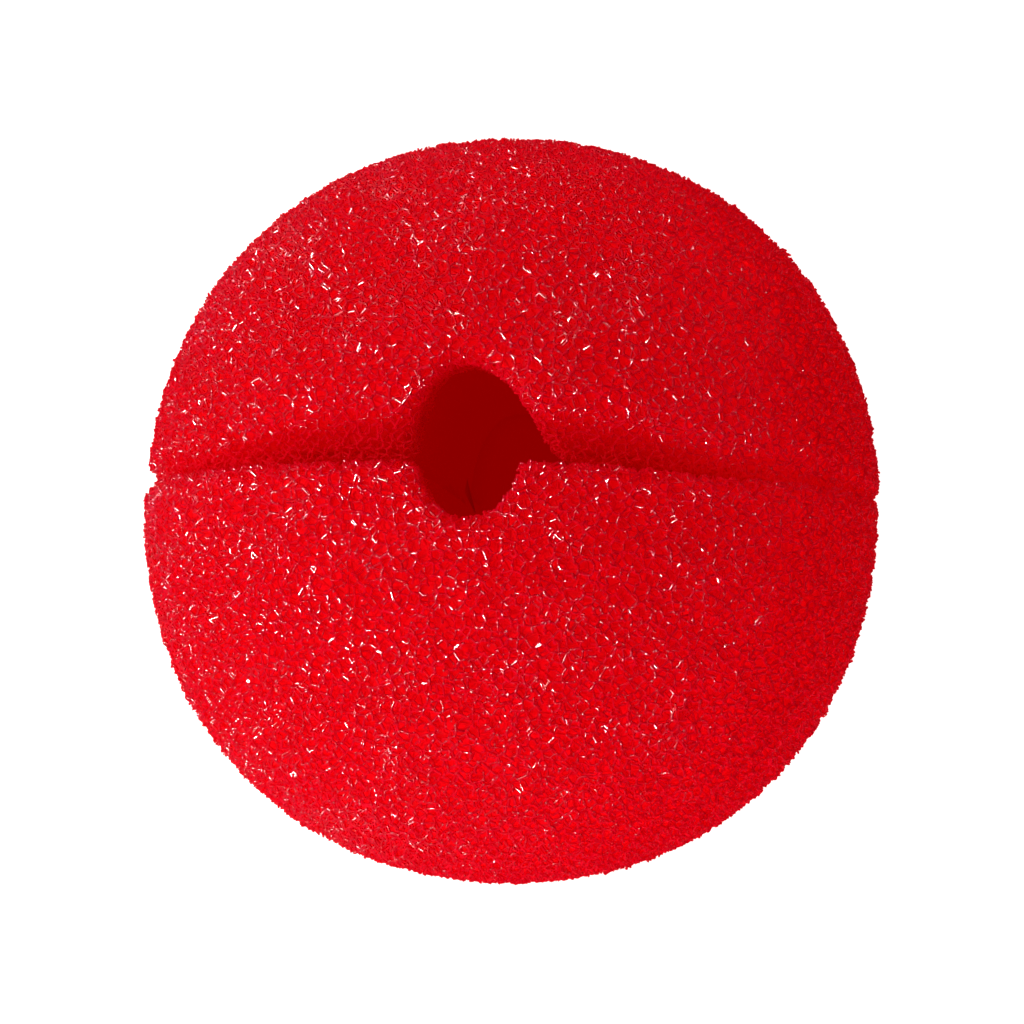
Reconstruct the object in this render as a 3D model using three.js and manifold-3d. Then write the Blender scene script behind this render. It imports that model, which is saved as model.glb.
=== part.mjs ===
// A foam clown nose: one soft ball with a slit cut across its back and a blind oval hole in the middle of the slit,
// where the wearer's own nose goes. The halves of the ball all but touch at the slit, and the far one slopes into it.
// It lies as it comes to rest by itself, with the hole up. Millimetres, +Z up, the slit runs along X, and the origin
// is under the middle of the ball, on the small flat spot that it rests on.
import * as THREE from "three";
import { mergeVertices } from "three/addons/utils/BufferGeometryUtils.js";
import Module from "manifold-3d";

// The ball. Its round form is drawn in along and across the slit, which leaves it 50 mm long there.
const ballDiameter = 50.4;
const ballLength = 51.1; // across the slit
const ballHeight = 49.8; // the soft ball settles a little where it lies
const squareness = 0.0083; // how far it is drawn in, as a share of its radius
const restSpotDiameter = 6.4; // it flattens here under its own weight

// The slit, a straight cut from the top that runs out at both sides of the ball
const slitDepth = 33.3; // from the top of the ball to the root of the cut, before the ball settles
const slitGap = 0.2; // between its walls at the root
const slitOffset = 1.25; // the cut runs this far beside the middle of the ball
const slitMouth = 0.2; // how much further apart its walls stand at the top than at the root
const farShoulder = 3.6; // the half beyond the cut slopes into it at 45 degrees, from this far beside it at the top
const farShoulderLeft = 1; // and from this near at the -X end of the cut
const farShoulderRight = 0.5; // and at its +X end
const shoulderFade = 2.5; // the power of the cosine of the angle from the top by which the lips change towards the ends
const shoulderRounding = 0.5; // the radius of the shoulder, as a share of its distance from the cut
const nearLipRadius = 0.5; // the half that holds the ball's middle has a crisp lip
const nearLipLeft = 1.2; // which is rounder at its -X end
const halfSlip = 0.3; // the halves have slipped past each other along the cut at the top

// The cut bends towards the near half over a stretch on the +X side
const bendReach = 0.35; // how far the lips are off their straight line
const bendCentre = 17;
const bendHalfLength = 10;
const bendFade = 16; // how far from the cut the foam is no longer drawn along

// The hole, punched before the cut, which runs through it. It is half an oval in the near half and half of a bigger one,
// which leans a little, in the far half.
const holeNearWidth = 6.7; // along the slit
const holeFarWidth = 8.1;
const holeNearReach = 3.75; // from the slit into the half
const holeFarReach = 6.3;
const holeLean = 0.6; // how far its far end lies towards -X
const holeFlare = 1.4; // how far the far half's +X corner between hole and slit is drawn back along the slit
const holeDepth = 35.3; // from the top of the ball to the floor of the hole, before the ball settles
const nearRimRadius = 0.8;
const farRimRadius = 1.4;

// How finely the round forms are divided
const aroundBall = 72;
const poleToPole = 36;
const aroundHole = 40;
const alongLip = 5;
const alongRim = 4;
const wallRings = 6;
const slitRings = 4;

const ballRadius = ballDiameter / 2;
const restSpotRadius = restSpotDiameter / 2;
const restHeight = Math.sqrt(ballRadius ** 2 - restSpotRadius ** 2); // the ball's middle stands this high
const topHeight = restHeight + ballRadius;
const slitRootHeight = topHeight - slitDepth;
const holeFloorHeight = topHeight - holeDepth;
const outside = ballDiameter; // well clear of the ball on every side

const wasm = await Module();
wasm.setup();

// A closed geometry as a solid that can be cut and joined.
function solidOf(geometry) {
  const bare = geometry.clone();
  bare.deleteAttribute("normal");
  bare.deleteAttribute("uv");
  const welded = mergeVertices(bare);
  return new wasm.Manifold(
    new wasm.Mesh({
      numProp: 3,
      vertProperties: welded.attributes.position.array,
      triVerts: new Uint32Array(welded.index.array),
    }),
  );
}

// A cut or joined solid as a geometry again.
function geometryOf(solid) {
  const mesh = solid.getMesh();
  const geometry = new THREE.BufferGeometry();
  geometry.setAttribute("position", new THREE.BufferAttribute(mesh.vertProperties, mesh.numProp));
  geometry.setIndex(new THREE.BufferAttribute(mesh.triVerts, 1));
  return geometry;
}

// Turns a profile of (distance from the middle line, Y) about the Y axis through the ball's middle. profileAt gives
// the profile at an angle from the top, always with as many points.
function turnedAboutBall(profileAt) {
  const geometry = new THREE.LatheGeometry(profileAt(0), aroundBall);
  const points = geometry.attributes.position;
  let vertex = 0;
  for (let i = 0; i <= aroundBall; i += 1) {
    const angle = (2 * Math.PI * i) / aroundBall;
    for (const point of profileAt(angle)) {
      points.setXYZ(vertex, point.x * Math.sin(angle), point.y, point.x * Math.cos(angle));
      vertex += 1;
    }
  }
  return solidOf(geometry.translate(0, 0, restHeight));
}

function wholeBall() {
  const profile = [];
  for (let i = 0; i <= poleToPole; i += 1) {
    const angle = Math.PI * (i / poleToPole - 0.5);
    const onPole = i === 0 || i === poleToPole;
    profile.push(new THREE.Vector2(onPole ? 0 : ballRadius * Math.cos(angle), ballRadius * Math.sin(angle)));
  }
  return turnedAboutBall(() => profile);
}

// An arc about the centre from the first angle to where it touches the ball's skin.
function arcToSkin(centre, radius, firstAngle) {
  const points = [];
  for (let i = 0; i <= alongLip; i += 1) {
    const angle = THREE.MathUtils.lerp(firstAngle, Math.atan2(centre.y, centre.x), i / alongLip);
    points.push(new THREE.Vector2(Math.cos(angle), Math.sin(angle)).multiplyScalar(radius).add(centre));
  }
  return points;
}

// The near half's lip: an arc that touches the slit's wall and the ball's skin, from the wall outwards.
function nearLip(wallY, radius) {
  const centreY = wallY - radius;
  const centre = new THREE.Vector2(Math.sqrt((ballRadius - radius) ** 2 - centreY ** 2), centreY);
  return arcToSkin(centre, radius, Math.PI / 2);
}

// The far half's lip: from the slit's wall a slope at 45 degrees, then an arc that touches the slope and the skin.
// shoulder is how far beside the wall the slope would meet the skin.
function farLip(wallY, shoulder) {
  const meeting = new THREE.Vector2(Math.sqrt(ballRadius ** 2 - (wallY + shoulder) ** 2), wallY + shoulder);
  const foot = new THREE.Vector2(meeting.x - shoulder, wallY);
  const downSlope = new THREE.Vector2(-1, -1).normalize();
  const intoFoam = new THREE.Vector2(-1, 1).normalize();
  const radius = shoulderRounding * shoulder;
  // the arc's centre runs beside the slope until it is as far from the ball's middle as an arc that touches the skin
  const beside = meeting.clone().addScaledVector(intoFoam, radius);
  const back = -beside.dot(downSlope);
  const along = back - Math.sqrt(back ** 2 - beside.lengthSq() + (ballRadius - radius) ** 2);
  const centre = beside.addScaledVector(downSlope, along);
  return [foot, ...arcToSkin(centre, radius, -Math.PI / 4)];
}

// A wall of the slit from the middle line to the foot of its lip.
function wallLine(wallY, lip) {
  const points = [];
  for (let i = 0; i < slitRings; i += 1) {
    points.push(new THREE.Vector2((lip[0].x * i) / slitRings, wallY));
  }
  return points;
}

// What the slit takes away while the halves are still closed: a thin disc about the ball's Y axis whose edge
// opens into the two lips, kept only above the root.
function slitCut() {
  const nearWall = slitOffset - slitGap / 2;
  const farWall = slitOffset + slitGap / 2;
  const profileAt = (angle) => {
    const top = Math.max(0, Math.cos(angle)) ** shoulderFade; // 1 at the top of the ball and 0 on its sides
    const onLeft = Math.sin(angle) < 0;
    const near = nearLip(nearWall, THREE.MathUtils.lerp(onLeft ? nearLipLeft : nearLipRadius, nearLipRadius, top));
    const far = farLip(farWall, THREE.MathUtils.lerp(onLeft ? farShoulderLeft : farShoulderRight, farShoulder, top));
    return [
      ...wallLine(nearWall, near),
      ...near,
      new THREE.Vector2(outside, near.at(-1).y),
      new THREE.Vector2(outside, far.at(-1).y),
      ...far.toReversed(),
      ...wallLine(farWall, far).reverse(),
    ];
  };
  const aboveRoot = new THREE.BoxGeometry(4 * outside, 4 * outside, 4 * outside);
  aboveRoot.translate(0, 0, slitRootHeight + 2 * outside);
  return turnedAboutBall(profileAt).intersect(solidOf(aboveRoot));
}

// The hole's outline in plan, as points beside the slit's middle. Each has the way that the rim widens there and the
// rim's radius. In each half the first and the last point lie in the thin gap of the cut, where there is no foam.
function holeOutline() {
  const points = [];
  for (const side of [1, -1]) {
    const width = side > 0 ? holeFarWidth : holeNearWidth;
    const reach = side > 0 ? holeFarReach : holeNearReach;
    const inGap = Math.asin(slitGap / 4 / reach);
    const last = aroundHole / 2 - 1;
    for (let i = 0; i <= last; i += 1) {
      const angle = THREE.MathUtils.lerp(inGap, Math.PI - inGap, side > 0 ? i / last : 1 - i / last);
      const along = Math.cos(angle);
      const into = Math.sin(angle); // 0 at the slit and 1 at the end of the hole
      const flare = side > 0 && along > 0 ? holeFlare * (1 - into) ** 3 : 0;
      const lean = side > 0 ? holeLean * into ** 2 : 0;
      points.push({
        x: (width / 2) * along + flare - lean,
        y: side * reach * into,
        wayX: along,
        wayY: side * into,
        rimRadius: THREE.MathUtils.lerp(nearRimRadius, farRimRadius, side > 0 ? into : 0),
      });
    }
  }
  return points;
}

// The rings of the punch from its floor to above the ball. A ring is the outline of the hole made wider by a share of
// the rim's radius, and it has a height for each of its points: below the rim the rings are level, and in the rim they
// follow the skin of the ball.
function punchRings() {
  const rimBottom = topHeight - farRimRadius - holeFarReach;
  const rings = [];
  for (let i = 0; i <= wallRings; i += 1) {
    const height = THREE.MathUtils.lerp(holeFloorHeight, rimBottom, i / wallRings);
    rings.push({ widening: 0, heightAt: () => height });
  }
  const skinHeight = (x, y) => restHeight + Math.sqrt(ballRadius ** 2 - x ** 2 - y ** 2);
  for (let i = 0; i <= alongRim; i += 1) {
    const angle = (Math.PI / 2) * (i / alongRim);
    const widening = 1 - Math.cos(angle);
    const below = 1 - Math.sin(angle);
    rings.push({ widening, heightAt: (x, y, rimRadius) => skinHeight(x, y) - below * rimRadius });
  }
  rings.push({ widening: 1, heightAt: () => topHeight + outside });
  return rings;
}

// The punch as one closed skin over its rings, with a middle point to close each end.
function holePunch() {
  const rings = punchRings();
  const outline = holeOutline();
  const positions = [];
  for (const { widening, heightAt } of rings) {
    for (const point of outline) {
      const x = point.x + widening * point.rimRadius * point.wayX;
      const y = slitOffset + point.y + widening * point.rimRadius * point.wayY;
      positions.push(x, y, heightAt(x, y, point.rimRadius));
    }
  }
  const floorMiddle = rings.length * aroundHole;
  const topMiddle = floorMiddle + 1;
  positions.push(0, slitOffset, rings[0].heightAt(0, slitOffset));
  positions.push(0, slitOffset, rings.at(-1).heightAt(0, slitOffset));
  const triangles = [];
  for (let i = 0; i < aroundHole; i += 1) {
    const next = (i + 1) % aroundHole;
    for (let ring = 0; ring < rings.length - 1; ring += 1) {
      const low = ring * aroundHole;
      const high = low + aroundHole;
      triangles.push(low + i, low + next, high + next);
      triangles.push(low + i, high + next, high + i);
    }
    const last = floorMiddle - aroundHole;
    triangles.push(floorMiddle, next, i);
    triangles.push(topMiddle, last + i, last + next);
  }
  const geometry = new THREE.BufferGeometry();
  geometry.setAttribute("position", new THREE.Float32BufferAttribute(positions, 3));
  geometry.setIndex(triangles);
  return solidOf(geometry);
}

// The table top, which the soft ball flattens against.
function tableTop() {
  const box = new THREE.BoxGeometry(4 * outside, 4 * outside, outside);
  box.translate(0, 0, -outside / 2);
  return solidOf(box);
}

// Draws the ball in a little along and across the slit, stretches it across, lets the two halves part from the slit's
// root upwards and slip past each other, bends the cut and lets the ball settle. Foam parts fast near the root of a cut
// and less further up.
function relax(geometry) {
  const stretch = ballLength / ballDiameter;
  const settled = ballHeight / topHeight;
  const points = geometry.attributes.position;
  const point = new THREE.Vector3();
  for (let i = 0; i < points.count; i += 1) {
    point.fromBufferAttribute(points, i);
    const rise = Math.max(0, (point.z - slitRootHeight) / slitDepth); // 0 at the root and 1 at the top
    const open = Math.sqrt(rise);
    const side = Math.sign(point.y - slitOffset);
    const alongBend = THREE.MathUtils.clamp((point.x - bendCentre) / bendHalfLength, -1, 1);
    const besideCut = THREE.MathUtils.clamp(Math.abs(point.y - slitOffset) / bendFade, 0, 1);
    const drawn = Math.cos((Math.PI / 2) * alongBend) ** 2 * Math.cos((Math.PI / 2) * besideCut) ** 2;
    const rooted = THREE.MathUtils.smoothstep(rise, 0, 0.5); // the bend dies out towards the root
    const fourfold = (point.x ** 4 - 6 * point.x ** 2 * point.y ** 2 + point.y ** 4) / ballRadius ** 4;
    const x = point.x * (1 - squareness * fourfold) + (side * halfSlip * open) / 2;
    const fromCut = point.y * (1 - squareness * fourfold) - slitOffset;
    const y = slitOffset + fromCut * stretch + (side * slitMouth * open) / 2 - bendReach * drawn * rooted;
    points.setXYZ(i, x, y, point.z * settled);
  }
  return geometry;
}

function foamBall() {
  const cut = wholeBall().subtract(slitCut()).subtract(holePunch()).subtract(tableTop());
  const geometry = relax(geometryOf(cut));
  geometry.computeVertexNormals();
  const redFoam = new THREE.MeshStandardMaterial({ color: 0xdc0518, roughness: 0.75, metalness: 0 });
  const mesh = new THREE.Mesh(geometry, redFoam);
  mesh.name = "foam_ball";
  return mesh;
}

const clownNose = new THREE.Group();
clownNose.name = "clown_nose";
clownNose.add(foamBall());

export default clownNose;
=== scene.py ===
# A red foam clown nose, lying mouth up: a network of fine foam struts over a soft core, cut open by a
# slit with an egg-shaped nose hole in it. The foam's own functions work in millimetres, and the meshes
# are in metres.
import math

import bmesh
import bpy
import numpy as np
from mathutils import Matrix, Vector


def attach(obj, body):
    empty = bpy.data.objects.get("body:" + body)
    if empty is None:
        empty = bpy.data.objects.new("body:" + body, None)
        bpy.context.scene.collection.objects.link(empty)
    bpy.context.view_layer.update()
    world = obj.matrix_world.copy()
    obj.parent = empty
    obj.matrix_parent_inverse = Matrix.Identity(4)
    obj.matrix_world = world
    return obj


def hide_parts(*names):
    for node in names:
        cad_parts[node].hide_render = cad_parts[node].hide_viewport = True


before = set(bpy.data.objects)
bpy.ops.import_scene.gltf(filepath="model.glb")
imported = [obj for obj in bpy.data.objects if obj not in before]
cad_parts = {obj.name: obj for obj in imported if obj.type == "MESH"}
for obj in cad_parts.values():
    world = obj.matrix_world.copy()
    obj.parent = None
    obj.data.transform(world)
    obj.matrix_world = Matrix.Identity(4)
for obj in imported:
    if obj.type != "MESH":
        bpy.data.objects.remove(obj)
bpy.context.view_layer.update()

millimetre = 0.001

# The nose's sizes, as the CAD part has them
nose = {
    "ballDiameter": 50.4,
    "ballLength": 51.1,  # across the slit
    "ballHeight": 49.8,  # after it has settled
    "squareness": 0.0083,  # how far it is drawn in along and across the slit, as a share of the radius
    "restSpotDiameter": 6.4,
    "slitDepth": 33.3,
    "slitGap": 0.2,
    "slitOffset": 1.25,  # from the ball's middle towards the far half
    "slitMouth": 0.2,  # how much wider the slit is at the top
    "farShoulder": 3.6,  # how far beside the slit the far half starts to slope in, at the top
    "farShoulderLeft": 1.0,  # and at the slit's two ends
    "farShoulderRight": 0.5,
    "shoulderFade": 2.5,  # the power by which it goes from the top to the ends
    "shoulderRounding": 0.5,  # as a share of the shoulder
    "nearLipRadius": 0.5,
    "nearLipLeft": 1.2,
    "halfSlip": 0.3,  # how far the halves have slipped past each other
    "bendReach": 0.35,
    "bendCentre": 17.0,
    "bendHalfLength": 10.0,
    "bendFade": 16.0,
    "holeNearWidth": 6.7,
    "holeFarWidth": 8.1,
    "holeNearReach": 3.75,
    "holeFarReach": 6.3,
    "holeLean": 0.6,
    "holeFlare": 1.4,
    "holeDepth": 35.3,
    "nearRimRadius": 0.8,
    "farRimRadius": 1.4,
}
ballRadius = nose["ballDiameter"] / 2
# the ball's middle stands this high
restHeight = math.sqrt(ballRadius**2 - (nose["restSpotDiameter"] / 2) ** 2)
topHeight = restHeight + ballRadius
slitRootHeight = topHeight - nose["slitDepth"]
holeFloorHeight = topHeight - nose["holeDepth"]


# From 0 at the low end to 1 at the high one, level at both: three times the square of the share less twice
# its cube.
def smoothStep(value, low, high):
    t = np.clip((value - low) / (high - low), 0, 1)
    return t * t * (3 - 2 * t)


# The lower of two depths, with the edge between them rounded: inside the rounding, the rounding less the
# distance from its middle line. turn is the cosine of the angle between the directions in which they grow.
def roundedLower(depthA, depthB, rounding, turn=0.0):
    a, b = rounding - depthA, rounding - depthB
    fromMiddle = np.sqrt(np.maximum(a**2 + b**2 - 2 * a * b * turn, 0) / (1 - turn**2))
    onRounding = (a > b * turn) & (b > a * turn)
    return np.where(onRounding, rounding - fromMiddle, np.minimum(depthA, depthB))


# Depth below the ball's skin alone: the radius less the distance from the ball's middle.
def depthBelowSkin(points):
    x, y, z = points[..., 0], points[..., 1], points[..., 2]
    return ballRadius - np.sqrt(x**2 + y**2 + (z - restHeight) ** 2)


# Distance beside the hole's outline, and the radius of its rim there. The outline is half an oval in each
# half of the ball. The far one leans towards -X by the square of the share into it, and its +X side is
# drawn out along the slit by the cube of the rest. Both are taken off first. In an oval's own measure a
# point is at 1 on its line. What it is over 1, by how fast that grows, is the distance from the line.
def besideOutline(x, y):
    into = np.clip(y / nose["holeFarReach"], 0, 1)
    upright = x + nose["holeLean"] * into**2
    flare = np.where(y > 0, nose["holeFlare"] * (1 - into) ** 3, 0)
    upright = np.where(upright > 0, np.maximum(upright - flare, 0), upright)
    halfWidth = np.where(y > 0, nose["holeFarWidth"], nose["holeNearWidth"]) / 2
    reach = np.where(y > 0, nose["holeFarReach"], nose["holeNearReach"])
    measure = np.maximum(np.hypot(upright / halfWidth, y / reach), 0.01)
    growth = np.maximum(np.hypot(upright / halfWidth**2, y / reach**2) / measure, 0.01)
    towardsFar = np.maximum(0, y / reach / measure)
    rimRadius = nose["nearRimRadius"] + (nose["farRimRadius"] - nose["nearRimRadius"]) * towardsFar
    return (measure - 1) / growth, rimRadius


# Depth in the closed foam below its nearest surface: the lowest of the depths below the skin, below the
# far half's slope, beside the slit, beside the hole and above the table, with the shoulder, the near lip
# and the rim rounded between them. It is negative in the open.
def depthInFoam(points):
    x, y, z = points[..., 0], points[..., 1], points[..., 2]
    acrossSlit = y - nose["slitOffset"]
    fromWall = np.abs(acrossSlit) - nose["slitGap"] / 2
    belowRoot = np.maximum(slitRootHeight - z, 0)
    besideSlit = np.where(belowRoot > 0, np.hypot(np.maximum(fromWall, 0), belowRoot), fromWall)
    fromBore, rimRadius = besideOutline(x, acrossSlit)
    belowFloor = np.maximum(holeFloorHeight - z, 0)
    besideHole = np.where(belowFloor > 0, np.hypot(np.maximum(fromBore, 0), belowFloor), fromBore)
    upwards = (z - restHeight) / np.maximum(np.hypot(x, z - restHeight), 0.01)
    top = np.maximum(0, upwards) ** nose["shoulderFade"]
    shoulderEnd = np.where(x < 0, nose["farShoulderLeft"], nose["farShoulderRight"])
    shoulder = shoulderEnd + (nose["farShoulder"] - shoulderEnd) * top
    rounderLeft = np.where(x < 0, nose["nearLipLeft"] - nose["nearLipRadius"], 0)
    nearLip = nose["nearLipRadius"] + rounderLeft * (1 - top)
    skin = depthBelowSkin(points)
    belowSlope = (skin + besideSlit - shoulder) / math.sqrt(2)
    farDepth = roundedLower(skin, belowSlope, nose["shoulderRounding"] * shoulder, math.sqrt(0.5))
    farDepth = np.minimum(farDepth, besideSlit)
    nearDepth = roundedLower(skin, besideSlit, nearLip)
    depth = roundedLower(np.where(acrossSlit > 0, farDepth, nearDepth), besideHole, rimRadius)
    return np.minimum(depth, z)


# How far a point of the closed, round foam moves when the ball is drawn in along and across the slit,
# stretched across it and settled, and the halves part, slip past each other and the cut bends. It is drawn
# in by the fourth power of the distance from the ball's upright axis times the cosine of four times the
# angle round it. Parting and slip grow as the square root of the rise above the slit's root. The bend is a
# raised cosine along and beside the cut.
def opening(points, side):
    x, y, z = points[..., 0], points[..., 1], points[..., 2]
    rise = np.maximum(0, (z - slitRootHeight) / nose["slitDepth"])
    opened = np.sqrt(rise)
    alongBend = np.clip((x - nose["bendCentre"]) / nose["bendHalfLength"], -1, 1)
    besideCut = np.clip(np.abs(y - nose["slitOffset"]) / nose["bendFade"], 0, 1)
    drawn = np.cos(math.pi / 2 * alongBend) ** 2 * np.cos(math.pi / 2 * besideCut) ** 2
    drawnIn = nose["squareness"] * (x**4 - 6 * x**2 * y**2 + y**4) / ballRadius**4
    stretch = nose["ballLength"] / nose["ballDiameter"]
    moved = np.zeros_like(points)
    moved[..., 0] = side * nose["halfSlip"] * opened / 2 - x * drawnIn
    moved[..., 1] = (stretch - 1) * (y - nose["slitOffset"]) - stretch * y * drawnIn
    bent = nose["bendReach"] * drawn * smoothStep(rise, 0, 0.5)
    moved[..., 1] += side * nose["slitMouth"] * opened / 2 - bent
    moved[..., 2] = (nose["ballHeight"] / topHeight - 1) * z
    return moved


# The half each point of the open foam is on: 1 beyond the bent middle of the cut and -1 before it.
def sideOfCut(points):
    onCut = points.copy()
    onCut[..., 1] = nose["slitOffset"]
    return np.where(points[..., 1] > onCut[..., 1] + opening(onCut, 0)[..., 1], 1.0, -1.0)


# Back from the open foam to the closed one: the closed point is the open one less the movement at the
# closed point, found by repeating that a few times.
def closedAgain(points, side):
    closed = points.copy()
    for step in range(8):
        closed = points - opening(closed, side)
    return closed


# The foam's cells
cells = {
    "spacing": 0.9,  # from one cell to the next in the lattice
    "unevenness": 0.25,  # how far a cell's middle strays, as a share of the spacing
    "shellDepth": 0.5,  # struts lie between the surface and this depth
    "reachInside": 5.5,  # how far down from the skin the slit and the hole have struts
    "strutRadius": 0.1,
    "strutRadiusSpread": 0.18,  # as a share of the radius
    "shortestStrut": 0.14,
    "neighbours": 24,  # cells looked at round each cell
    "edgeReach": 1.2,  # how far from a cell's middle an edge may lie, in spacings
    "atOnce": 3000,  # cells worked on together
    "randomSeed": 7,
    "lumpHeight": 0.07,  # how uneven the foam's skin is
    "lumpLength": 1.7,
    "lumpWaves": 10,
    "stubHeight": 0.17,  # how far a cut strut may stand out of the skin
}


# Middles of the cells on a body-centred lattice that is shifted at random, with a table from lattice place
# to cell.
def cellMiddles():
    random = np.random.default_rng(cells["randomSeed"])
    half = cells["spacing"] / 2
    count = 2 * math.ceil((ballRadius + 4) / half)
    place = np.indices((count, count, count)).reshape(3, -1).T
    place = place[(place % 2 == place[:, :1] % 2).all(axis=1)]
    stray = cells["unevenness"] * cells["spacing"]
    middles = (place - (count - 1) / 2) * half + random.uniform(-stray, stray, place.shape)
    middles[:, 2] += restHeight
    cellAt = np.full((count, count, count), -1)
    cellAt[tuple(place.T)] = np.arange(len(place))
    return middles, place, cellAt


# Steps on the lattice to the cells round a cell.
def latticeSteps():
    step = np.indices((7, 7, 7)).reshape(3, -1).T - 3
    length = (step**2).sum(axis=1)
    return step[(step % 2 == step[:, :1] % 2).all(axis=1) & (length > 0) & (length <= 12)]


# Edges between the cells, and the direction from each to a cell. Three neighbouring cells share a line, on
# which every point is as far from one middle as from the others. The edge is the stretch of that line
# where no fourth middle is nearer.
def cellEdges():
    middles, place, cellAt = cellMiddles()
    steps = latticeSteps()
    spacing = cells["spacing"]
    depth = depthInFoam(middles)
    nearSurface = (depth > -spacing) & (depth < cells["shellDepth"] + spacing)
    nearSurface &= depthBelowSkin(middles) < cells["reachInside"] + spacing
    nearSurface &= (place.min(axis=1) > 3) & (place.max(axis=1) < len(cellAt) - 4)
    active = np.nonzero(nearSurface)[0]
    second, third = np.triu_indices(cells["neighbours"], 1)
    starts, ends, corners = [], [], []
    for first in np.array_split(active, max(1, len(active) // cells["atOnce"])):
        around = place[first][:, None] + steps
        around = cellAt[around[..., 0], around[..., 1], around[..., 2]]
        offset = middles[around] - middles[first][:, None]
        distance = (offset**2).sum(axis=-1)
        nearest = np.argpartition(distance, cells["neighbours"], axis=1)[:, : cells["neighbours"]]
        around = np.take_along_axis(around, nearest, 1)
        offset = np.take_along_axis(offset, nearest[..., None], 1)
        distance = np.take_along_axis(distance, nearest, 1)
        # each set of three cells is taken once, from its lowest number
        row, pair = np.nonzero((around[:, second] > first[:, None]) & (around[:, third] > first[:, None]))
        b, c = offset[row, second[pair]], offset[row, third[pair]]
        along = np.cross(b, c)
        size = (along**2).sum(axis=1)
        useful = size > 1e-9
        row, b, c, along, size = row[useful], b[useful], c[useful], along[useful], size[useful]
        foot = (b**2).sum(axis=1)[:, None] * np.cross(c, along)
        foot += (c**2).sum(axis=1)[:, None] * np.cross(along, b)
        foot /= 2 * size[:, None]
        along /= np.sqrt(size)[:, None]
        close = (foot**2).sum(axis=1) < (cells["edgeReach"] * spacing) ** 2
        row, foot, along = row[close], foot[close], along[close]
        slope = np.einsum("mkj,mj->mk", offset[row], along)
        room = distance[row] / 2 - np.einsum("mkj,mj->mk", offset[row], foot)
        level = np.abs(slope) < 1e-7
        crossing = room / np.where(level, 1, slope)
        high = np.where(level | (slope < 0), np.inf, crossing).min(axis=1)
        low = np.where(level | (slope > 0), -np.inf, crossing).max(axis=1)
        kept = (high - low > cells["shortestStrut"]) & np.isfinite(high - low)
        kept &= ~(level & (room < -1e-9)).any(axis=1)
        line = middles[first][row] + foot
        starts.append((line + low[:, None] * along)[kept])
        ends.append((line + high[:, None] * along)[kept])
        corners.append((foot / np.linalg.norm(foot, axis=1)[:, None])[kept])
    return np.concatenate(starts), np.concatenate(ends), np.concatenate(corners)


# Depth below the uneven skin. To the depth below the even one it adds waves that run in random directions,
# together as high as the lumps.
def depthInLumps(points):
    random = np.random.default_rng(cells["randomSeed"] + 2)
    ways = random.normal(size=(3, cells["lumpWaves"]))
    ways *= 2 * math.pi / cells["lumpLength"] / np.linalg.norm(ways, axis=0)
    waves = np.sin(points @ ways + random.uniform(0, 2 * math.pi, cells["lumpWaves"])).sum(axis=-1)
    return depthInFoam(points) + cells["lumpHeight"] * waves / math.sqrt(cells["lumpWaves"])


# Edges that cross the cut are parted at its middle, where there is no foam.
def partedAtCut(start, end, corner):
    slitOffset = nose["slitOffset"]
    crosses = (start[:, 1] > slitOffset) != (end[:, 1] > slitOffset)
    crosses &= np.maximum(start[:, 2], end[:, 2]) > slitRootHeight
    share = (slitOffset - start[crosses, 1]) / (end[crosses, 1] - start[crosses, 1])
    middle = start[crosses] + share[:, None] * (end - start)[crosses]
    newStart = np.concatenate([start[~crosses], start[crosses], end[crosses]])
    newEnd = np.concatenate([end[~crosses], middle, middle])
    return newStart, newEnd, np.concatenate([corner[~crosses], corner[crosses], corner[crosses]])


# The point between an inner and an outer one that stands so high above the skin, or the outer one if that
# is lower, by halving the stretch again and again.
def whereCut(inner, outer, height):
    inner, outer = inner.copy(), outer.copy()
    for step in range(10):
        middle = (inner + outer) / 2
        inside = (depthInLumps(middle) > -height)[:, None]
        inner, outer = np.where(inside, middle, inner), np.where(inside, outer, middle)
    return inner


# The struts of the shell: every edge that lies in it, cut off at the foam's surface or a little above it.
def foamStruts():
    start, end, corner = partedAtCut(*cellEdges())
    startIn, endIn = depthInLumps(start) > 0, depthInLumps(end) > 0
    turned = endIn & ~startIn  # these are turned round, so that it is always the end that is cut
    start[turned], end[turned] = end[turned], start[turned]
    cut = startIn != endIn
    inShell = (startIn | endIn) & (depthInLumps((start + end) / 2) < cells["shellDepth"])
    inShell &= depthBelowSkin(start) < cells["reachInside"]
    start, end, corner, cut = start[inShell], end[inShell], corner[inShell], cut[inShell]
    random = np.random.default_rng(cells["randomSeed"] + 3)
    end[cut] = whereCut(start[cut], end[cut], random.uniform(0, cells["stubHeight"], cut.sum()))
    longEnough = np.linalg.norm(end - start, axis=1) > cells["shortestStrut"]
    return start[longEnough], end[longEnough], corner[longEnough], cut[longEnough]


# A mesh object at the origin from points in millimetres and from faces, one array for each corner count.
def meshObject(name, points, faceArrays, smooth=True):
    mesh = bpy.data.meshes.new(name)
    mesh.vertices.add(len(points))
    mesh.vertices.foreach_set("co", (points * millimetre).astype(np.float32).ravel())
    corners = np.concatenate([faces.ravel() for faces in faceArrays])
    counts = np.concatenate([np.full(len(faces), faces.shape[1]) for faces in faceArrays])
    mesh.loops.add(len(corners))
    mesh.loops.foreach_set("vertex_index", corners.astype(np.int32))
    mesh.polygons.add(len(counts))
    mesh.polygons.foreach_set("loop_start", (np.cumsum(counts) - counts).astype(np.int32))
    mesh.update(calc_edges=True)
    mesh.validate()
    mesh.polygons.foreach_set("use_smooth", np.full(len(counts), smooth))
    shape = bpy.data.objects.new(name, mesh)
    bpy.context.scene.collection.objects.link(shape)
    return shape


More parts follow.
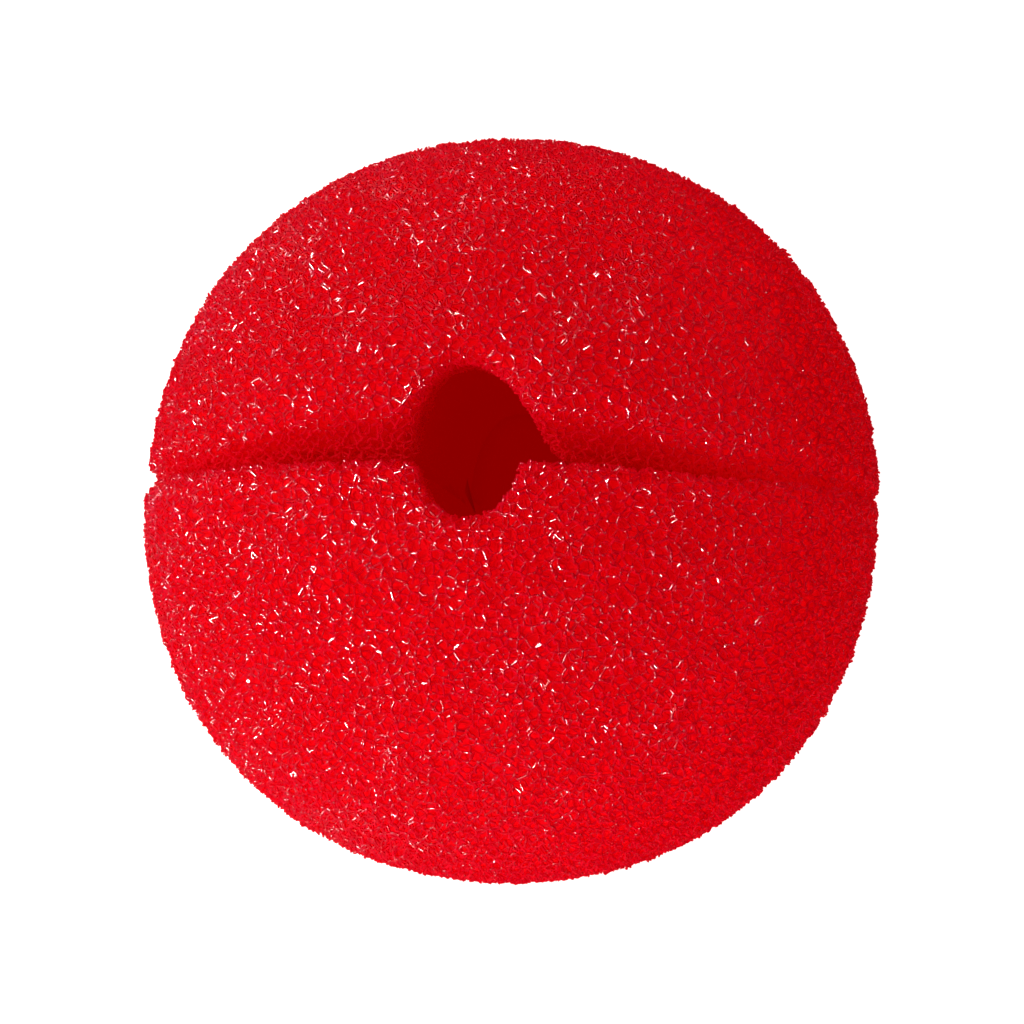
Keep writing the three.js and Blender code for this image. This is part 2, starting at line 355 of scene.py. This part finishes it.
# Three-sided rods from start to end in the closed foam: a ring of three points about each end, the first of
# them towards the corner and the others a third of a turn on, moved with the half that the rod is in. A
# cut end has a cap. Each rod has its own tile of the bake's picture, with a strip of it for each side.
def strutMesh(name, start, end, corner, cut, radius):
    count = len(start)
    along = (end - start) / np.linalg.norm(end - start, axis=1)[:, None]
    acrossA = corner - (corner * along).sum(axis=1)[:, None] * along
    acrossA /= np.linalg.norm(acrossA, axis=1)[:, None]
    acrossB = np.cross(along, acrossA)
    angle = np.arange(3) * 2 * math.pi / 3
    ring = np.cos(angle)[:, None] * acrossA[:, None] + np.sin(angle)[:, None] * acrossB[:, None]
    ring *= radius[:, None, None]
    points = np.concatenate([start[:, None] + ring, end[:, None] + ring], axis=1)
    side = np.where((start + end)[:, 1] / 2 > nose["slitOffset"], 1.0, -1.0)
    points += opening(points, side[:, None])
    first = np.arange(count)[:, None, None] * 6
    here = np.arange(3)
    following = (here + 1) % 3
    sides = np.stack([here, following, following + 3, here + 3], axis=1)
    quads = (first + sides).reshape(-1, 4)
    caps = np.arange(count)[cut][:, None] * 6 + np.array([3, 4, 5])
    rods = meshObject(name, points.reshape(-1, 3), [quads, caps])
    tiles = math.ceil(math.sqrt(count))
    corners = np.array([[0.06, 0.06], [0.32, 0.06], [0.32, 0.94], [0.06, 0.94]])
    strips = np.stack([corners + [0.31 * strip, 0] for strip in range(3)])
    tile = np.stack([np.arange(count) % tiles, np.arange(count) // tiles], axis=1)
    sideUv = (tile[:, None, None] + strips) / tiles
    capUv = (tile[cut][:, None] + np.array([[0.9, 0.9], [0.96, 0.9], [0.93, 0.96]])) / tiles
    bakeMap = rods.data.uv_layers.new(name="OFBake")
    bakeMap.uv.foreach_set("vector", np.concatenate([sideUv.ravel(), capUv.ravel()]).astype(np.float32))
    return rods


# The shell of struts in six pieces: the far and the near half of the ball, each in three sectors.
def foamShell(material):
    start, end, corner, cut = foamStruts()
    random = np.random.default_rng(cells["randomSeed"] + 1)
    spread = cells["strutRadiusSpread"]
    radius = cells["strutRadius"] * random.uniform(1 - spread, 1 + spread, len(start))
    middle = (start + end) / 2
    turn = np.arctan2(middle[:, 1] - nose["slitOffset"], middle[:, 0]) / (math.pi / 3)
    sectors = ["far_right", "far_middle", "far_left", "near_left", "near_middle", "near_right"]
    sector = np.floor(turn).astype(int) % 6
    pieces = []
    for number, place in enumerate(sectors):
        here = sector == number
        rods = strutMesh(
            "foam_struts_" + place, start[here], end[here], corner[here], cut[here], radius[here]
        )
        rods.data.materials.append(material)
        pieces.append(rods)
        print("struts", place, here.sum(), "faces", len(rods.data.polygons))
    return pieces


core = {
    "voxel": 0.68,
    "spread": 2.0,  # how far each wall of the slit is moved aside for the remesh
    "depth": 0.56,  # below the surface, under the shell of struts
    "depthInside": 0.12,  # where the slit and the hole have no struts
    "fadeStart": 4.0,  # how far down from the skin the core starts to come up
    "longestMove": 0.6,  # of a point in one step
}


# While the core is remeshed the slit's walls stand further apart, so that its voxels can't bridge them.
def spreading(points, side):
    return side * core["spread"] * smoothStep(points[..., 2], slitRootHeight, slitRootHeight + 1)


# Moves each point along the slope of the depth until it is as deep as wanted.
def movedToDepth(points, wanted):
    moved = points.copy()
    nudge = 0.02
    for step in range(4):
        here = depthInFoam(moved)
        gains = [depthInFoam(moved + way) - depthInFoam(moved - way) for way in nudge * np.eye(3)]
        slope = np.stack(gains, axis=1)
        slope /= np.maximum(np.linalg.norm(slope, axis=1), 1e-9)[:, None]
        moved += slope * np.clip(wanted - here, -core["longestMove"], core["longestMove"])[:, None]
    return moved


def pointsOf(mesh):
    points = np.empty(len(mesh.vertices) * 3, np.float32)
    mesh.vertices.foreach_get("co", points)
    return points.reshape(-1, 3).astype(float) / millimetre


# The core: the CAD ball's own surface, remeshed evenly and moved in below the struts.
def foamCore(material):
    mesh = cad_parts["foam_ball"].data.copy()
    merged = bmesh.new()
    merged.from_mesh(mesh)
    bmesh.ops.remove_doubles(merged, verts=merged.verts, dist=1e-7)
    merged.to_mesh(mesh)
    merged.free()
    points = pointsOf(mesh)
    side = sideOfCut(points)
    points = closedAgain(points, side)
    points[:, 1] += spreading(points, side)
    mesh.vertices.foreach_set("co", (points * millimetre).astype(np.float32).ravel())
    draft = bpy.data.objects.new("draft", mesh)
    bpy.context.scene.collection.objects.link(draft)
    remesh = draft.modifiers.new("even", "REMESH")
    remesh.mode = "VOXEL"
    remesh.voxel_size = core["voxel"] * millimetre
    even = bpy.data.meshes.new_from_object(draft.evaluated_get(bpy.context.evaluated_depsgraph_get()))
    bpy.data.objects.remove(draft)
    closed = pointsOf(even)
    side = np.where(closed[:, 1] > nose["slitOffset"], 1.0, -1.0)
    closed[:, 1] -= spreading(closed, side)
    inside = smoothStep(depthBelowSkin(closed), core["fadeStart"], cells["reachInside"])
    closed = movedToDepth(closed, core["depth"] + (core["depthInside"] - core["depth"]) * inside)
    points = closed + opening(closed, side)
    even.vertices.foreach_set("co", (points * millimetre).astype(np.float32).ravel())
    even.materials.clear()
    even.materials.append(material)
    even.update()
    even.name = "foam_core"
    even.polygons.foreach_set("use_smooth", np.ones(len(even.polygons), bool))
    ball = bpy.data.objects.new("foam_core", even)
    bpy.context.scene.collection.objects.link(ball)
    print("core faces", len(even.polygons))
    return ball


foam = {
    "strutColour": (0.82, 0.0006, 0.018, 1),
    "strutShade": (0.78, 0.0004, 0.012, 1),
    "strutRoughness": 0.6,
    "strutSpecular": 0.02,
    "mottleSize": 2.4,
    "glossySize": 0.45,  # of the patches that glint
    "glossyShare": (0.35, 0.48),  # from dull to glossy, by the mottling
    "glintFade": (0.8, 0.97),  # from no glints to all of them, by the glow's share
    "coatRoughness": 0.1,
    "coatIor": 2.4,
    "waveSize": 0.5,  # of the unevenness along a strut
    "waveHeight": 0.08,
    "waveStrength": 0.5,
    "coreLine": (0.97, 0.0006, 0.006, 1),
    # the pits between the lines are painted a little darker, as shade in the deeper pores
    "corePit": (0.95, 0.0002, 0.004, 1),
    "corePaintedShade": (0.5, 0.0001, 0.002, 1),  # painted shade deep in the slit and the hole
    "coreRoughness": 0.9,
    "coreSpecular": 0.03,
    "coreCell": 0.8,  # as a share of the cells' spacing
    "coreLineEdge": (0.03, 0.2),  # from a line to a pit, by the distance from the cell's edge
    "coreLineHeight": 0.25,
    "coreLineStrength": 0.8,
    "glowColour": (1, 0, 0.006, 1),  # painted light: a glow that stands in for the light that real foam scatters on through itself
    # the painted glow's strength on the struts and on the core
    "strutGlow": 0.212,
    "coreGlow": 0.262,
    "deepGlow": 0.5,  # its share deep in the slit and the hole, which paints shade there
    "glowStart": 0.5,  # how far below the skin it starts to fade
    "glowDepth": 4.5,  # and how far below it has faded
}


def newNode(nodes, kind, **values):
    node = nodes.new(kind)
    for name, value in values.items():
        setattr(node, name, value)
    return node


# A group with a place and perhaps a size going in and one value coming out, and its two end nodes.
def newGroup(name, output, sized=False):
    group = bpy.data.node_groups.new(name, "ShaderNodeTree")
    group.interface.new_socket("Place", in_out="INPUT", socket_type="NodeSocketVector")
    if sized:
        group.interface.new_socket("Size", in_out="INPUT", socket_type="NodeSocketFloat")
    group.interface.new_socket(output, in_out="OUTPUT", socket_type="NodeSocketFloat")
    return group, group.nodes.new("NodeGroupInput"), group.nodes.new("NodeGroupOutput")


# A value carried from one range to another.
def ranged(tree, value, given, wanted=(0, 1), **values):
    carry = newNode(tree.nodes, "ShaderNodeMapRange", **values)
    carry.inputs["From Min"].default_value, carry.inputs["From Max"].default_value = given
    carry.inputs["To Min"].default_value, carry.inputs["To Max"].default_value = wanted
    tree.links.new(value, carry.inputs["Value"])
    return carry.outputs["Result"]


def product(tree, valueA, valueB):
    times = newNode(tree.nodes, "ShaderNodeMath", operation="MULTIPLY")
    tree.links.new(valueA, times.inputs[0])
    tree.links.new(valueB, times.inputs[1])
    return times.outputs[0]


# Two colours mixed by a share. Each is a fixed colour or another node's.
def mixed(tree, share, colourA, colourB):
    mix = newNode(tree.nodes, "ShaderNodeMix", data_type="RGBA")
    tree.links.new(share, mix.inputs["Factor"])
    for socket, colour in ((mix.inputs["A"], colourA), (mix.inputs["B"], colourB)):
        if isinstance(colour, tuple):
            socket.default_value = colour
        else:
            tree.links.new(colour, socket)
    return mix.outputs["Result"]


def addBump(tree, shader, height, distance, strength):
    bump = tree.nodes.new("ShaderNodeBump")
    bump.inputs["Strength"].default_value = strength
    bump.inputs["Distance"].default_value = distance * millimetre
    tree.links.new(height, bump.inputs["Height"])
    tree.links.new(bump.outputs["Normal"], shader.inputs["Normal"])


# Mottling: noise of the given size in millimetres, stretched to go from 0 to 1.
def mottleGroup():
    group, given, result = newGroup("foamMottle", "Mottle", sized=True)
    perMetre = newNode(group.nodes, "ShaderNodeMath", operation="DIVIDE")
    perMetre.inputs[0].default_value = 1 / millimetre
    group.links.new(given.outputs["Size"], perMetre.inputs[1])
    noise = group.nodes.new("ShaderNodeTexNoise")
    noise.inputs["Detail"].default_value = 3
    noise.inputs["Roughness"].default_value = 0.65
    group.links.new(given.outputs["Place"], noise.inputs["Vector"])
    group.links.new(perMetre.outputs[0], noise.inputs["Scale"])
    group.links.new(ranged(group, noise.outputs["Fac"], (0.3, 0.7)), result.inputs["Mottle"])
    return group


# The share of the foam's painted glow, 1 at the skin and 0 deep down, by the distance from the ball's middle.
def glowGroup():
    group, given, result = newGroup("foamGlow", "Glow")
    fromMiddle = newNode(group.nodes, "ShaderNodeVectorMath", operation="DISTANCE")
    fromMiddle.inputs[1].default_value = (0, 0, restHeight * millimetre)
    group.links.new(given.outputs["Place"], fromMiddle.inputs[0])
    faded = (ballRadius - foam["glowDepth"]) * millimetre
    full = (ballRadius - foam["glowStart"]) * millimetre
    glow = ranged(group, fromMiddle.outputs["Value"], (faded, full), interpolation_type="SMOOTHSTEP")
    group.links.new(glow, result.inputs["Glow"])
    return group


def newMaterial(name):
    material = bpy.data.materials.new(name)
    material.use_nodes = True
    return material, material.node_tree, material.node_tree.nodes["Principled BSDF"]


def placeIn(tree):
    return tree.nodes.new("ShaderNodeTexCoord").outputs["Object"]


def mottled(tree, place, size):
    mottle = newNode(tree.nodes, "ShaderNodeGroup", node_tree=foamMottle)
    mottle.inputs["Size"].default_value = size
    tree.links.new(place, mottle.inputs["Place"])
    return mottle.outputs["Mottle"]


# Makes the shader glow with painted light, and gives the glow's share.
def addGlow(tree, shader, place, strength):
    glow = newNode(tree.nodes, "ShaderNodeGroup", node_tree=foamGlow)
    tree.links.new(place, glow.inputs["Place"])
    # Deep down the glow is dimmer: painted shade in the slit and the hole.
    deepShadeGlow = (foam["deepGlow"], 0, 0, 1)
    colour = mixed(tree, glow.outputs["Glow"], deepShadeGlow, foam["glowColour"])
    tree.links.new(colour, shader.inputs["Emission Color"])
    shader.inputs["Emission Strength"].default_value = strength
    return glow.outputs["Glow"]


# Bare struts: mottled red with a painted glow, glossy in some places and dull in others, so that only some of
# them glint.
def strutMaterial():
    material, tree, shader = newMaterial("red_foam_strut")
    place = placeIn(tree)
    mottle = mottled(tree, place, foam["mottleSize"])
    tree.links.new(mixed(tree, mottle, foam["strutShade"], foam["strutColour"]), shader.inputs["Base Color"])
    glossy = ranged(tree, mottled(tree, place, foam["glossySize"]), foam["glossyShare"])
    nearSkin = ranged(tree, addGlow(tree, shader, place, foam["strutGlow"]), foam["glintFade"])
    tree.links.new(product(tree, glossy, nearSkin), shader.inputs["Coat Weight"])
    shader.inputs["Coat Roughness"].default_value = foam["coatRoughness"]
    shader.inputs["Coat IOR"].default_value = foam["coatIor"]
    shader.inputs["Roughness"].default_value = foam["strutRoughness"]
    shader.inputs["Specular IOR Level"].default_value = foam["strutSpecular"]
    wave = tree.nodes.new("ShaderNodeTexNoise")
    wave.inputs["Scale"].default_value = 1 / (foam["waveSize"] * millimetre)
    wave.inputs["Detail"].default_value = 0
    tree.links.new(place, wave.inputs["Vector"])
    addBump(tree, shader, wave.outputs["Fac"], foam["waveHeight"], foam["waveStrength"])
    return material


# The foam behind them, with a painted glow: lines of deeper struts round pits painted a little darker as
# their shade, going over to painted shade deep in the slit and the hole.
def coreMaterial():
    material, tree, shader = newMaterial("red_foam_core")
    place = placeIn(tree)
    cell = newNode(tree.nodes, "ShaderNodeTexVoronoi", feature="DISTANCE_TO_EDGE")
    cell.inputs["Scale"].default_value = 1 / (cells["spacing"] * foam["coreCell"] * millimetre)
    tree.links.new(place, cell.inputs["Vector"])
    line = ranged(tree, cell.outputs["Distance"], foam["coreLineEdge"], (1, 0))
    nearSkin = addGlow(tree, shader, place, foam["coreGlow"])
    colour = mixed(tree, line, foam["corePit"], foam["coreLine"])
    # Deep in the slit and the hole the colour goes over to painted shade.
    tree.links.new(mixed(tree, nearSkin, foam["corePaintedShade"], colour), shader.inputs["Base Color"])
    addBump(tree, shader, product(tree, line, nearSkin), foam["coreLineHeight"], foam["coreLineStrength"])
    shader.inputs["Roughness"].default_value = foam["coreRoughness"]
    shader.inputs["Specular IOR Level"].default_value = foam["coreSpecular"]
    return material


studio = {
    "cameraDirection": (0.12, -0.09, 0.989),
    "cameraDistance": 0.5,
    "cameraLens": 256.6,
    "cameraRoll": 1.3,
    "ballMiddle": (0.00002, -0.00008, restHeight * millimetre),
    "floorHalf": 1.5,
    "floorColour": (0.9, 0.9, 0.9, 1),
    "floorRoughness": 0.9,
    "floorGlow": 0.93,
    "backdrop": 0.9,
    # direction from the ball, distance, size, watts, and whether it makes the glints or the rest of the light
    "lights": {
        "spark": ((-0.48, 0.02, 0.88), 0.5, 0.1, 2.8, True),
        "front": ((0, -0.94, 0.34), 0.5, 0.4, 1.08, False),
        "frontLeft": ((-0.66, -0.66, 0.34), 0.5, 0.4, 0.5, False),
        "left": ((-0.74, 0.07, 0.67), 0.5, 0.6, 1.38, False),
        "back": ((0, 0.94, 0.34), 0.5, 0.4, 0.52, False),
        "backRight": ((0.5, 0.5, 0.71), 0.5, 0.4, 0.02, False),
        "overhead": ((0.28, -0.1, 0.95), 0.5, 0.4, 0.1, False),
    },
}


# Turns a thing so that its back points along the direction, with up as near to +Y as can be.
def facing(direction, roll=0.0):
    back = Vector(direction).normalized()
    right = Vector((0, 1, 0)).cross(back).normalized()
    up = back.cross(right)
    turned = Matrix((right, up, back)).transposed().to_4x4()
    return turned @ Matrix.Rotation(math.radians(roll), 4, "Z")


# Puts a camera or a light at a distance from the ball's middle, facing it.
def placed(thing, direction, distance, roll=0.0):
    shown = bpy.data.objects.new(thing.name, thing)
    bpy.context.scene.collection.objects.link(shown)
    where = Vector(studio["ballMiddle"]) + Vector(direction).normalized() * distance
    shown.matrix_world = Matrix.Translation(where) @ facing(direction, roll)
    return shown


def addCamera():
    lens = bpy.data.cameras.new("camera")
    lens.sensor_width = 36
    lens.lens = studio["cameraLens"]
    lens.clip_start, lens.clip_end = 0.01, 10
    camera = placed(lens, studio["cameraDirection"], studio["cameraDistance"], studio["cameraRoll"])
    bpy.context.scene.camera = camera


def addLights():
    for name, (direction, distance, size, power, glints) in studio["lights"].items():
        light = bpy.data.lights.new(name, "AREA")
        light.shape = "DISK"
        light.size = size
        light.energy = power
        lamp = placed(light, direction, distance)
        lamp.visible_glossy, lamp.visible_diffuse = glints, not glints


def addFloor():
    half = studio["floorHalf"] / millimetre
    corners = np.array([[-half, -half, 0], [half, -half, 0], [half, half, 0], [-half, half, 0]])
    floor = meshObject("floor", corners, [np.array([[0, 1, 2, 3]])], smooth=False)
    material, tree, shader = newMaterial("pale_floor")
    shader.inputs["Base Color"].default_value = studio["floorColour"]
    shader.inputs["Roughness"].default_value = studio["floorRoughness"]
    shader.inputs["Emission Color"].default_value = (1, 1, 1, 1)
    shader.inputs["Emission Strength"].default_value = studio["floorGlow"]
    floor.data.materials.append(material)
    floor.visible_glossy = False


# A pale room that only the camera sees. The lamps, the floor and the foam's painted glow give all the light.
def addRoom():
    room = bpy.data.worlds.new("room")
    room.use_nodes = True
    bpy.context.scene.world = room
    nodes, links = room.node_tree.nodes, room.node_tree.links
    seen = nodes["Background"]
    seen.inputs["Color"].default_value = (1, 1, 1, 1)
    path = nodes.new("ShaderNodeLightPath")
    strength = newNode(nodes, "ShaderNodeMath", operation="MULTIPLY")
    links.new(path.outputs["Is Camera Ray"], strength.inputs[0])
    strength.inputs[1].default_value = studio["backdrop"]
    links.new(strength.outputs[0], seen.inputs["Strength"])


bpy.context.scene.view_settings.view_transform = "Standard"
addCamera()
addLights()
addFloor()
addRoom()
print("studio ready")

foamMottle, foamGlow = mottleGroup(), glowGroup()
ball = foamCore(coreMaterial())
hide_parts("foam_ball")
for piece in [ball, *foamShell(strutMaterial())]:
    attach(piece, "root")
print("foam ready")
